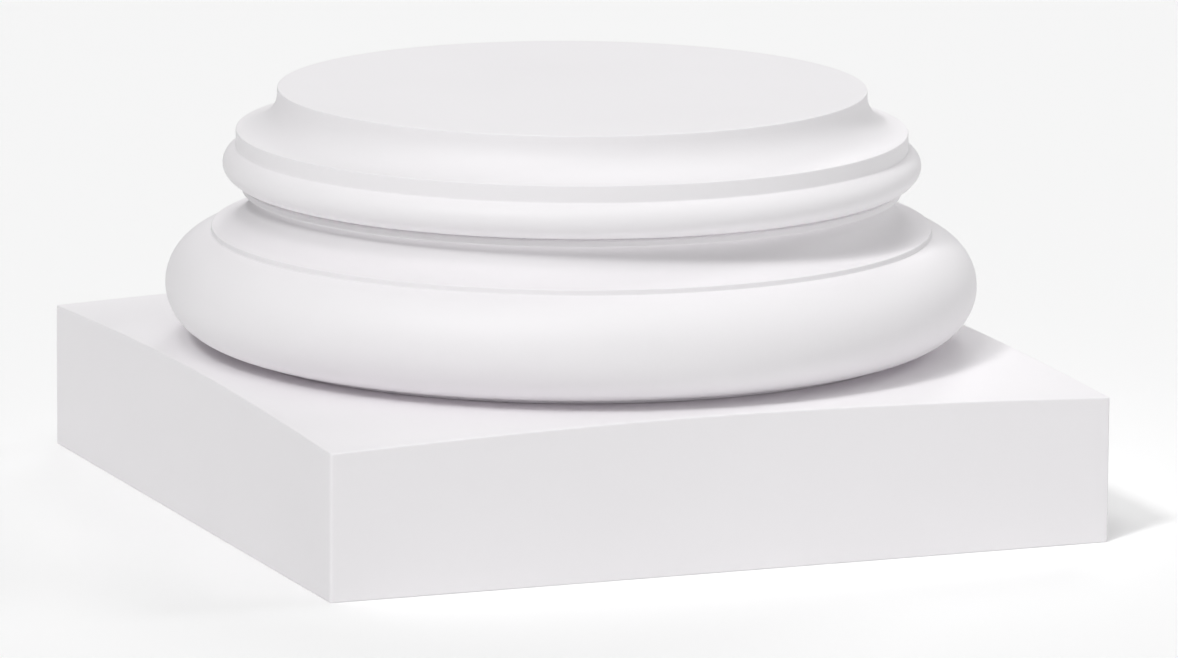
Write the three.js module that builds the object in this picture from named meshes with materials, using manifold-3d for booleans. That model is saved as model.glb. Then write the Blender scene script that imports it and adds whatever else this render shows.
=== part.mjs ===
// Column base: a square plinth with a round moulding standing on it, turned to one profile.
// Millimetres, +Z up. The origin is the centre of the plinth's underside, X and Y run along its sides.

import * as THREE from 'three';
import { mergeVertices } from 'three/addons/utils/BufferGeometryUtils.js';
import Module from 'manifold-3d';

// Plinth
const plinthSide = 420;
const plinthEdgeHeight = 74.7; // at the four corners
const plinthTopFall = 3.5; // degrees that the top falls away from the moulding on every side
const plinthCornerRadius = 1.5; // rounding of the upright arrises

// Joint between the two pieces, a dark recess all round
const jointClearance = 0.3; // under the moulding
const recessHeight = 2.3; // of the upright neck, from the plinth's seat up to the lower torus

// Lower torus, set out from the plinth's sides
const torusSetback = 0.4; // inside the plinth's sides
const torusWidth = 29.3; // from its centre line out to its widest point
const torusHalfHeight = 27.2;

// Lip, scotia and neck fillet
const lipOffset = 5.6; // outside the lower torus's centre line
const lipHeight = 2.9;
const scotiaHeight = 18.5; // from the lip up to the neck fillet's underside
const throatDepth = 5.2; // the scotia's deepest line, inside the neck fillet
const neckFilletInset = 3.2; // inside the band
const neckFilletHeight = 3.2;

// Upper torus and band
const creaseDepth = 2.2; // from the neck fillet's face in to the crease under the torus
const creaseHeight = 0.7; // from the neck fillet's rim up to the crease
const upperTorusProjection = 6.8; // outside the band
const upperTorusWidth = 15; // from its centre line out to its widest point
const upperTorusHalfHeight = 10.5;
const bandHeight = 8.7;

// Flare and seat, set out from the column's shaft
const shaftDiameter = 304;
const flareWidth = 21.3;
const flareHeight = 18.4;
const seatEdgeHeight = 3.2;

// Facets
const turnSegments = 96;
const mergeTolerance = 1e-4;

const colour = 0xf0f0f1;
const roughness = 0.55;

const wasm = await Module();
wasm.setup();

// Heights and radii that follow from the sizes above
const torusCentreRadius = plinthSide / 2 - torusSetback - torusWidth;
const topFallRatio = Math.tan(THREE.MathUtils.degToRad(plinthTopFall));
const seatHeight = plinthEdgeHeight + topFallRatio * (plinthSide / Math.SQRT2 - torusCentreRadius);

function ellipseArc(centreRadius, centreHeight, width, halfHeight, startAngle, endAngle, steps) {
  const clockwise = endAngle < startAngle;
  const curve = new THREE.EllipseCurve(
    centreRadius, centreHeight, width, halfHeight, startAngle, endAngle, clockwise,
  );
  return curve.getPoints(steps);
}

// Turns a profile of radius and height about Z
function turned(points) {
  const geometry = new THREE.LatheGeometry(points, turnSegments);
  geometry.rotateX(Math.PI / 2);
  return geometry;
}

function solidFrom(geometry) {
  const bare = geometry.clone();
  bare.deleteAttribute('normal');
  bare.deleteAttribute('uv');
  const merged = mergeVertices(bare, mergeTolerance);
  const vertProperties = new Float32Array(merged.attributes.position.array);
  const triVerts = new Uint32Array(merged.index.array);
  return new wasm.Manifold(new wasm.Mesh({ numProp: 3, vertProperties, triVerts }));
}

function geometryFrom(solid) {
  const mesh = solid.getMesh();
  const geometry = new THREE.BufferGeometry();
  geometry.setAttribute('position', new THREE.BufferAttribute(mesh.vertProperties, 3));
  geometry.setIndex(new THREE.BufferAttribute(mesh.triVerts, 1));
  geometry.computeVertexNormals();
  return geometry;
}

function roundedSquare(side, radius) {
  const half = side / 2;
  const centre = half - radius;
  const shape = new THREE.Shape();
  shape.moveTo(centre, -half);
  shape.absarc(centre, -centre, radius, -Math.PI / 2, 0, false);
  shape.absarc(centre, centre, radius, 0, Math.PI / 2, false);
  shape.absarc(-centre, centre, radius, Math.PI / 2, Math.PI, false);
  shape.absarc(-centre, -centre, radius, Math.PI, Math.PI * 1.5, false);
  return shape;
}

// The plinth's block, with the ring above its falling top cut away. The middle stays flat as a seat.
function plinthGeometry() {
  const cornerSegments = 4;
  const overrun = 20; // of the cutting ring past the seat's edge and the corners
  const block = new THREE.ExtrudeGeometry(roundedSquare(plinthSide, plinthCornerRadius), {
    depth: seatHeight,
    curveSegments: cornerSegments,
    bevelEnabled: false,
  });
  const innerRadius = torusCentreRadius - overrun;
  const outerRadius = plinthSide / Math.SQRT2 + overrun;
  const innerHeight = seatHeight + topFallRatio * overrun;
  const outerHeight = plinthEdgeHeight - topFallRatio * overrun;
  const cutter = turned([
    new THREE.Vector2(innerRadius, innerHeight),
    new THREE.Vector2(outerRadius, outerHeight),
    new THREE.Vector2(outerRadius, innerHeight),
    new THREE.Vector2(innerRadius, innerHeight),
  ]);
  return geometryFrom(solidFrom(block).subtract(solidFrom(cutter)));
}

// The moulding's profile, from the middle of its underside out and up to the middle of its seat
function mouldingProfile() {
  const torusSteps = 13;
  const scotiaSteps = 7;
  const upperTorusSteps = 9;
  const flareSteps = 8;

  const underside = seatHeight + jointClearance;
  const torusUnderside = seatHeight + recessHeight;
  const torusCentreHeight = torusUnderside + torusHalfHeight;
  const lipRadius = torusCentreRadius + lipOffset;
  const lipAngle = Math.acos(lipOffset / torusWidth);
  const lipTop = torusCentreHeight + torusHalfHeight * Math.sin(lipAngle) + lipHeight;

  const seatRadius = shaftDiameter / 2;
  const bandRadius = seatRadius + flareWidth;
  const neckFilletRadius = bandRadius - neckFilletInset;
  const throatRadius = neckFilletRadius - throatDepth;
  const neckFilletBottom = lipTop + scotiaHeight;
  const neckFilletTop = neckFilletBottom + neckFilletHeight;

  const upperCentreRadius = bandRadius + upperTorusProjection - upperTorusWidth;
  const creaseRadius = neckFilletRadius - creaseDepth;
  const upperStart = Math.acos((creaseRadius - upperCentreRadius) / upperTorusWidth);
  const upperEnd = Math.acos((bandRadius - upperCentreRadius) / upperTorusWidth);
  const creaseTop = neckFilletTop + creaseHeight;
  const upperCentreHeight = creaseTop + upperTorusHalfHeight * Math.sin(upperStart);
  const bandBottom = upperCentreHeight + upperTorusHalfHeight * Math.sin(upperEnd);
  const bandTop = bandBottom + bandHeight;
  const flareTop = bandTop + flareHeight;
  const seatTop = flareTop + seatEdgeHeight;

  return [
    new THREE.Vector2(0, underside),
    new THREE.Vector2(torusCentreRadius, underside),
    ...ellipseArc(
      torusCentreRadius, torusCentreHeight, torusWidth, torusHalfHeight,
      -Math.PI / 2, lipAngle, torusSteps,
    ),
    ...ellipseArc(
      lipRadius, neckFilletBottom, lipRadius - throatRadius, scotiaHeight,
      Math.PI * 1.5, Math.PI, scotiaSteps,
    ),
    new THREE.Vector2(neckFilletRadius, neckFilletBottom),
    new THREE.Vector2(neckFilletRadius, neckFilletTop),
    ...ellipseArc(
      upperCentreRadius, upperCentreHeight, upperTorusWidth, upperTorusHalfHeight,
      -upperStart, upperEnd, upperTorusSteps,
    ),
    ...ellipseArc(
      bandRadius, flareTop, flareWidth, flareHeight,
      Math.PI * 1.5, Math.PI, flareSteps,
    ),
    new THREE.Vector2(seatRadius, seatTop),
    new THREE.Vector2(0, seatTop),
  ];
}

function piece(name, geometry) {
  const material = new THREE.MeshStandardMaterial({ color: colour, roughness, metalness: 0 });
  const mesh = new THREE.Mesh(geometry, material);
  mesh.name = name;
  return mesh;
}

const columnBase = new THREE.Group();
columnBase.add(piece('plinth', plinthGeometry()));
columnBase.add(piece('base_moulding', turned(mouldingProfile())));

export default columnBase;
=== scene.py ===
"""A white moulded column base on a pale studio floor: a square plinth carrying a round moulding."""
import math

import bpy
from mathutils import Matrix, Vector


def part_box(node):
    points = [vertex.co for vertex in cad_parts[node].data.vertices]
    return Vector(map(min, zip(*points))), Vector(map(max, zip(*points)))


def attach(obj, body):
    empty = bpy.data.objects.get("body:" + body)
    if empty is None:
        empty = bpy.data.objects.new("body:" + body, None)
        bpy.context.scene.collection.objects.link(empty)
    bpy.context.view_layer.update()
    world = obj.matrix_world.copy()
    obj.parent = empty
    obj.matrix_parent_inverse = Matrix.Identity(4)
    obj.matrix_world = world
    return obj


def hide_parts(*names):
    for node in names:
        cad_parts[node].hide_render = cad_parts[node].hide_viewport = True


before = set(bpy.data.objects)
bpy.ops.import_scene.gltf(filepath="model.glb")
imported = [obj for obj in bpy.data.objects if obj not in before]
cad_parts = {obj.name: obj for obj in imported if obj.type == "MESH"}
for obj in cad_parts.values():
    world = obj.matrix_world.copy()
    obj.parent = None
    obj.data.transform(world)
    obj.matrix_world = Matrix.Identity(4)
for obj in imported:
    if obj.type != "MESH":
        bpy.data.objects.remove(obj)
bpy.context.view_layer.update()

# Sizes are in metres. The outer ones come from the frame, and the others are the CAD model's own.
PLINTH_LOW, PLINTH_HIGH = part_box("plinth")
MOULDING_LOW, MOULDING_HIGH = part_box("base_moulding")
PLINTH_SIDE = PLINTH_HIGH.x - PLINTH_LOW.x
SEAT_HEIGHT = PLINTH_HIGH.z

# Plinth
TOP_FALL = math.radians(3.5)  # of its top, away from the moulding on every side
UPRIGHT_ARRIS = 0.0015  # rounding of its four upright edges
EDGE_ARRIS = 0.0008  # rounding of its upper and lower edges, less than that of the upright ones

# Moulding, from the recess up to the seat for the shaft
RECESS_HEIGHT = 0.0023  # from the plinth's seat up to the lower torus
TORUS_SETBACK = 0.0004  # inside the plinth's sides
TORUS_WIDTH = 0.0293  # from its centre line out to its widest point
TORUS_HALF_HEIGHT = 0.0272
LIP_OFFSET = 0.0056  # outside the lower torus's centre line
LIP_HEIGHT = 0.0029
SCOTIA_HEIGHT = 0.0185  # from the lip up to the neck fillet
THROAT_DEPTH = 0.0052  # of the scotia's deepest line, inside the neck fillet
NECK_FILLET_INSET = 0.0032  # inside the band
NECK_FILLET_HEIGHT = 0.0032
CREASE_DEPTH = 0.0022  # inside the neck fillet
CREASE_HEIGHT = 0.0007  # from the neck fillet's rim up to the crease
UPPER_PROJECTION = 0.0068  # of the upper torus, outside the band
UPPER_WIDTH = 0.015  # from its centre line out to its widest point
UPPER_HALF_HEIGHT = 0.0105
BAND_HEIGHT = 0.0087
SHAFT_RADIUS = 0.152
FLARE_WIDTH = 0.0213
FLARE_HEIGHT = 0.0184
ARRIS_SOFTNESS = 0.00045  # spread of the averaging that rounds the rims

TORUS_CENTRE = PLINTH_SIDE / 2 - TORUS_SETBACK - TORUS_WIDTH  # radius of its centre line

# The camera stands off the plinth's left front corner with a long lens. Its angles are in degrees.
IMAGE_WIDTH = 1178
FOCAL_PIXELS = 9258.7
SENSOR_WIDTH = 36.0
CAMERA_AZIMUTH = -21.915
CAMERA_ELEVATION = 10.776
CAMERA_ROLL = 0.4
CAMERA_DISTANCE = 11.412 * PLINTH_SIDE
CAMERA_RIGHT = 0.0226 * PLINTH_SIDE
CAMERA_UP = 0.0265 * PLINTH_SIDE
AIM_HEIGHT = 0.0745  # about the height of the plinth's top corners

# Looks
PRIMER_WHITE = (0.912, 0.895, 0.912)
FLOOR_WHITE = (0.97, 0.97, 0.97, 1.0)
FLOOR_REACH = 12.0
LIGHT_BOUNCES = 24
DIFFUSE_BOUNCES = 16


def direction(azimuth, elevation=0.0):
    """A unit vector from two angles in degrees. Azimuth 0 is the broad side, -Y, and 90 is +X."""
    a, e = math.radians(azimuth), math.radians(elevation)
    return Vector((math.sin(a) * math.cos(e), -math.cos(a) * math.cos(e), math.sin(e)))


def link(obj):
    bpy.context.scene.collection.objects.link(obj)
    return obj


def mesh_object(name, vertices, faces):
    mesh = bpy.data.meshes.new(name)
    mesh.from_pydata(vertices, [], faces)
    mesh.validate()
    mesh.polygons.foreach_set("use_smooth", [True] * len(mesh.polygons))
    mesh.update()
    return link(bpy.data.objects.new(name, mesh))


def stitched(rings, bottom, top):
    """Vertices and faces of a closed skin: rings of equal length, closed by a point at each end."""
    count = len(rings[0])
    vertices = [point for ring in rings for point in ring] + [bottom, top]
    low, high = len(vertices) - 2, len(vertices) - 1
    last = (len(rings) - 1) * count
    faces = []
    for i in range(count):
        j = (i + 1) % count
        faces.append((low, j, i))
        faces.append((high, last + i, last + j))
        for level in range(len(rings) - 1):
            a, b = level * count, (level + 1) * count
            faces.append((a + i, a + j, b + j, b + i))
    return vertices, faces


def arc(centre_radius, centre_height, width, half_height, start, end, steps=48):
    """Points of radius and height on part of an ellipse."""
    angles = [start + (end - start) * i / steps for i in range(steps + 1)]
    return [
        (centre_radius + width * math.cos(a), centre_height + half_height * math.sin(a))
        for a in angles
    ]


def moulding_outline():
    """The sharp profile, from the middle of the underside to the middle of the seat."""
    torus_steps = 96
    torus_underside = SEAT_HEIGHT + RECESS_HEIGHT
    torus_height = torus_underside + TORUS_HALF_HEIGHT
    lip_radius = TORUS_CENTRE + LIP_OFFSET
    lip_angle = math.acos(LIP_OFFSET / TORUS_WIDTH)
    lip_top = torus_height + TORUS_HALF_HEIGHT * math.sin(lip_angle) + LIP_HEIGHT
    band_radius = SHAFT_RADIUS + FLARE_WIDTH
    fillet_radius = band_radius - NECK_FILLET_INSET
    throat_radius = fillet_radius - THROAT_DEPTH
    scotia_width = lip_radius - throat_radius
    scotia_top = lip_top + SCOTIA_HEIGHT
    fillet_top = scotia_top + NECK_FILLET_HEIGHT
    upper_radius = band_radius + UPPER_PROJECTION - UPPER_WIDTH
    upper_start = math.acos((fillet_radius - CREASE_DEPTH - upper_radius) / UPPER_WIDTH)
    upper_end = math.acos((band_radius - upper_radius) / UPPER_WIDTH)
    upper_height = fillet_top + CREASE_HEIGHT + UPPER_HALF_HEIGHT * math.sin(upper_start)
    band_top = upper_height + UPPER_HALF_HEIGHT * math.sin(upper_end) + BAND_HEIGHT
    flare_top = band_top + FLARE_HEIGHT
    return [
        (0.0, MOULDING_LOW.z),
        (TORUS_CENTRE, MOULDING_LOW.z),
        *arc(
            TORUS_CENTRE, torus_height, TORUS_WIDTH, TORUS_HALF_HEIGHT,
            -math.pi / 2, lip_angle, torus_steps,
        ),
        *arc(lip_radius, scotia_top, scotia_width, SCOTIA_HEIGHT, math.pi * 1.5, math.pi),
        (fillet_radius, scotia_top),
        (fillet_radius, fillet_top),
        *arc(upper_radius, upper_height, UPPER_WIDTH, UPPER_HALF_HEIGHT, -upper_start, upper_end),
        *arc(band_radius, flare_top, FLARE_WIDTH, FLARE_HEIGHT, math.pi * 1.5, math.pi),
        (SHAFT_RADIUS, MOULDING_HIGH.z),
        (0.0, MOULDING_HIGH.z),
    ]


def walked(points, step):
    """The same line with its points at one even step."""
    lengths = [math.dist(a, b) for a, b in zip(points, points[1:])]
    count = round(sum(lengths) / step)
    even = sum(lengths) / count
    result, index, passed = [], 0, 0.0
    for i in range(count + 1):
        target = i * even
        while index < len(lengths) - 1 and passed + lengths[index] < target:
            passed += lengths[index]
            index += 1
        share = min(1.0, (target - passed) / lengths[index])
        (r0, z0), (r1, z1) = points[index], points[index + 1]
        result.append((r0 + (r1 - r0) * share, z0 + (z1 - z0) * share))
    return result


def softened(points, step, softness):
    """Rounds every arris and crease by averaging along the line, as a coat of primer does."""
    spreads = 3  # that the average takes in on each side of a point
    reach = math.ceil(spreads * softness / step)
    weights = [math.exp(-0.5 * (k * step / softness) ** 2) for k in range(-reach, reach + 1)]
    total = sum(weights)
    result = list(points)
    for i in range(reach, len(points) - reach):
        near = points[i - reach:i + reach + 1]
        result[i] = (
            sum(w * p[0] for w, p in zip(weights, near)) / total,
            sum(w * p[1] for w, p in zip(weights, near)) / total,
        )
    return result


def thinned(points, turn, stride):
    """Keeps a point wherever the shares of one turn and one stride since the last add up to one."""
    kept, spent = [points[0]], 0.0
    for before, here, after in zip(points, points[1:], points[2:]):
        ahead = math.atan2(after[1] - here[1], after[0] - here[0])
        behind = math.atan2(here[1] - before[1], here[0] - before[0])
        bend = abs(math.remainder(ahead - behind, math.tau))
        spent += bend / turn + math.dist(before, here) / stride
        if spent >= 1:
            kept.append(here)
            spent = 0.0
    return kept + [points[-1]]


def moulding_piece():
    around = 256
    walk_step = 0.0001
    turn = math.radians(6.5)
    stride = 0.007
    line = softened(walked(moulding_outline(), walk_step), walk_step, ARRIS_SOFTNESS)
    line = thinned(line, turn, stride)
    rings = [
        [
            (r * math.cos(math.tau * i / around), r * math.sin(math.tau * i / around), z)
            for i in range(around)
        ]
        for r, z in line[1:-1]
    ]
    bottom, top = (0.0, 0.0, line[0][1]), (0.0, 0.0, line[-1][1])
    return mesh_object("turned_moulding", *stitched(rings, bottom, top))


def square_outline(inset):
    """The plinth's plan, inset from its sides by less than the rounding of its upright arrises."""
    corner_steps = 8
    side_steps = 40
    half = PLINTH_SIDE / 2 - inset
    radius = UPRIGHT_ARRIS - inset
    centre = half - radius
    outline = []
    for quarter in range(4):
        turn = quarter * math.pi / 2
        side = [(half, -centre + 2 * centre * i / side_steps) for i in range(side_steps)]
        corner = [
            (
                centre + radius * math.cos(math.pi / 2 * i / corner_steps),
                centre + radius * math.sin(math.pi / 2 * i / corner_steps),
            )
            for i in range(corner_steps)
        ]
        for x, y in side + corner:
            outline.append((
                x * math.cos(turn) - y * math.sin(turn),
                x * math.sin(turn) + y * math.cos(turn),
            ))
    return outline


def top_height(x, y):
    """The plinth's top: flat under the moulding, and falling away on all sides outside it."""
    return SEAT_HEIGHT - math.tan(TOP_FALL) * max(0.0, math.hypot(x, y) - TORUS_CENTRE)


def plinth_piece():
    """Rings from the middle of the underside, out and up the sides, and in over the top to the seat."""
    arris_steps = 7
    support = 0.0005  # a loop close beside each arris keeps the flats flat
    underside_shares = (0.3, 0.6, 0.9)
    middle_shares = (0.25, 0.5, 0.75)
    top_steps = 14
    seat_shares = (0.9, 0.6, 0.3)

    angles = [math.pi / 2 * i / arris_steps for i in range(arris_steps + 1)]
    wall = square_outline(0.0)
    rim = square_outline(EDGE_ARRIS + support)

    rings = [[(x * s, y * s, 0.0) for x, y in rim] for s in underside_shares]
    rings.append([(x, y, 0.0) for x, y in rim])
    for a in angles:
        inset = EDGE_ARRIS * (1 - math.sin(a))
        rings.append([(x, y, EDGE_ARRIS * (1 - math.cos(a))) for x, y in square_outline(inset)])
    rings.append([(x, y, EDGE_ARRIS + support) for x, y in wall])
    for share in middle_shares:
        rings.append([(x, y, share * (top_height(x, y) - EDGE_ARRIS)) for x, y in wall])
    rings.append([(x, y, top_height(x, y) - EDGE_ARRIS - support) for x, y in wall])
    for a in angles:
        inset = EDGE_ARRIS * (1 - math.cos(a))
        drop = EDGE_ARRIS * (1 - math.sin(a))
        rings.append([(x, y, top_height(x, y) - drop) for x, y in square_outline(inset)])
    for step in range(top_steps + 1):
        ring = []
        for x, y in rim:
            scale = 1 + (TORUS_CENTRE / math.hypot(x, y) - 1) * step / top_steps
            ring.append((x * scale, y * scale, top_height(x * scale, y * scale)))
        rings.append(ring)
    seat = rings[-1]
    rings += [[(x * s, y * s, z) for x, y, z in seat] for s in seat_shares]
    return mesh_object("plinth_slab", *stitched(rings, (0.0, 0.0, 0.0), (0.0, 0.0, SEAT_HEIGHT)))


def node(tree, kind, **inputs):
    made = tree.nodes.new(kind)
    for name, value in inputs.items():
        made.inputs[name].default_value = value
    return made


def material_and_shader(name):
    material = bpy.data.materials.new(name)
    material.use_nodes = True
    return material, material.node_tree.nodes["Principled BSDF"]


def primer_material(name):
    """Matt white primer: a faint cloudiness, a fine orange peel and slightly uneven roughness."""
    cloud_shade = 0.985  # of the white, in the darker patches
    cloud_range = (0.3, 0.7)  # of the noise, from the darker patches to the white
    roughness_range = (0.5, 0.62)
    material, shader = material_and_shader(name)
    tree = material.node_tree
    place = node(tree, "ShaderNodeTexCoord")
    cloud = node(tree, "ShaderNodeTexNoise", Scale=9.0, Detail=3.0, Roughness=0.5)
    peel = node(tree, "ShaderNodeTexNoise", Scale=420.0, Detail=2.0, Roughness=0.5)
    bump = node(tree, "ShaderNodeBump", Strength=0.05, Distance=0.0004)
    rough = node(tree, "ShaderNodeMapRange")
    rough.inputs["To Min"].default_value, rough.inputs["To Max"].default_value = roughness_range
    colour = node(tree, "ShaderNodeValToRGB")
    darker, lighter = colour.color_ramp.elements
    darker.position, lighter.position = cloud_range
    darker.color = (*[c * cloud_shade for c in PRIMER_WHITE], 1)
    lighter.color = (*PRIMER_WHITE, 1)
    links = tree.links
    for texture in (cloud, peel):
        links.new(place.outputs["Object"], texture.inputs["Vector"])
    links.new(cloud.outputs["Fac"], colour.inputs["Fac"])
    links.new(cloud.outputs["Fac"], rough.inputs["Value"])
    links.new(peel.outputs["Fac"], bump.inputs["Height"])
    links.new(colour.outputs["Color"], shader.inputs["Base Color"])
    links.new(rough.outputs["Result"], shader.inputs["Roughness"])
    links.new(bump.outputs["Normal"], shader.inputs["Normal"])
    return material


def floor_material():
    material, shader = material_and_shader("pale_floor")
    shader.inputs["Base Color"].default_value = FLOOR_WHITE
    shader.inputs["Roughness"].default_value = 0.9
    shader.inputs["Specular IOR Level"].default_value = 0.2
    return material


def add_floor():
    signs = ((-1, -1), (1, -1), (1, 1), (-1, 1))
    corners = [(x * FLOOR_REACH, y * FLOOR_REACH, 0.0) for x, y in signs]
    floor = mesh_object("floor", corners, [(0, 1, 2, 3)])
    floor.data.materials.append(floor_material())


def add_camera():
    back = direction(CAMERA_AZIMUTH, CAMERA_ELEVATION)
    level = direction(CAMERA_AZIMUTH + 90)
    upward = back.cross(level)
    roll = math.radians(CAMERA_ROLL)
    right = level * math.cos(roll) + upward * math.sin(roll)
    up = upward * math.cos(roll) - level * math.sin(roll)
    aim = Vector((0.0, 0.0, AIM_HEIGHT))
    place = back * CAMERA_DISTANCE + right * CAMERA_RIGHT + up * CAMERA_UP + aim
    data = bpy.data.cameras.new("camera")
    data.sensor_width = SENSOR_WIDTH
    data.lens = FOCAL_PIXELS / IMAGE_WIDTH * SENSOR_WIDTH
    camera = link(bpy.data.objects.new("camera", data))
    camera.matrix_world = Matrix.Translation(place) @ Matrix((right, up, back)).transposed().to_4x4()
    bpy.context.scene.camera = camera


def add_sun(name, azimuth, elevation, spread, strength):
    """A large softbox far off, with its angles in degrees."""
    data = bpy.data.lights.new(name, "SUN")
    data.energy = strength
    data.angle = math.radians(spread)
    light = link(bpy.data.objects.new(name, data))
    light.rotation_mode = "QUATERNION"
    light.rotation_quaternion = direction(azimuth, elevation).to_track_quat("Z", "Y")


def add_world(darkest, brightest, azimuth):
    """A pale surrounding that grows brighter towards one azimuth."""
    world = bpy.data.worlds.new("studio")
    world.use_nodes = True
    tree = world.node_tree
    background = tree.nodes["Background"]
    background.inputs["Color"].default_value = (1.0, 1.0, 1.0, 1.0)
    outward = node(tree, "ShaderNodeTexCoord")
    across = node(tree, "ShaderNodeVectorMath")
    across.operation = "DOT_PRODUCT"
    across.inputs[1].default_value = direction(azimuth)
    strength = node(tree, "ShaderNodeMapRange")
    strength.inputs["From Min"].default_value = -1.0
    strength.inputs["To Min"].default_value = darkest
    strength.inputs["To Max"].default_value = brightest
    tree.links.new(outward.outputs["Generated"], across.inputs[0])
    tree.links.new(across.outputs["Value"], strength.inputs["Value"])
    tree.links.new(strength.outputs["Result"], background.inputs["Strength"])
    bpy.context.scene.world = world


def dress(piece, cad_node, material):
    piece.data.materials.append(material)
    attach(piece, "root")
    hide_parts(cad_node)


bpy.context.scene.view_settings.view_transform = "Standard"
# White mouldings on a pale floor light each other, which takes many bounces
bpy.context.scene.cycles.max_bounces = LIGHT_BOUNCES
bpy.context.scene.cycles.diffuse_bounces = DIFFUSE_BOUNCES

add_camera()
add_floor()
add_world(darkest=0.02, brightest=0.4, azimuth=65)
add_sun("key", azimuth=-55, elevation=47, spread=9, strength=1.16)
add_sun("high_key", azimuth=-44, elevation=60, spread=16, strength=0.58)
add_sun("top_fill", azimuth=0, elevation=88, spread=60, strength=0.64)
add_sun("side_fill", azimuth=90, elevation=35, spread=16, strength=0.32)
add_sun("back_fill", azimuth=150, elevation=35, spread=16, strength=0.33)
dress(plinth_piece(), "plinth", primer_material("plinth_primer"))
dress(moulding_piece(), "base_moulding", primer_material("moulding_primer"))
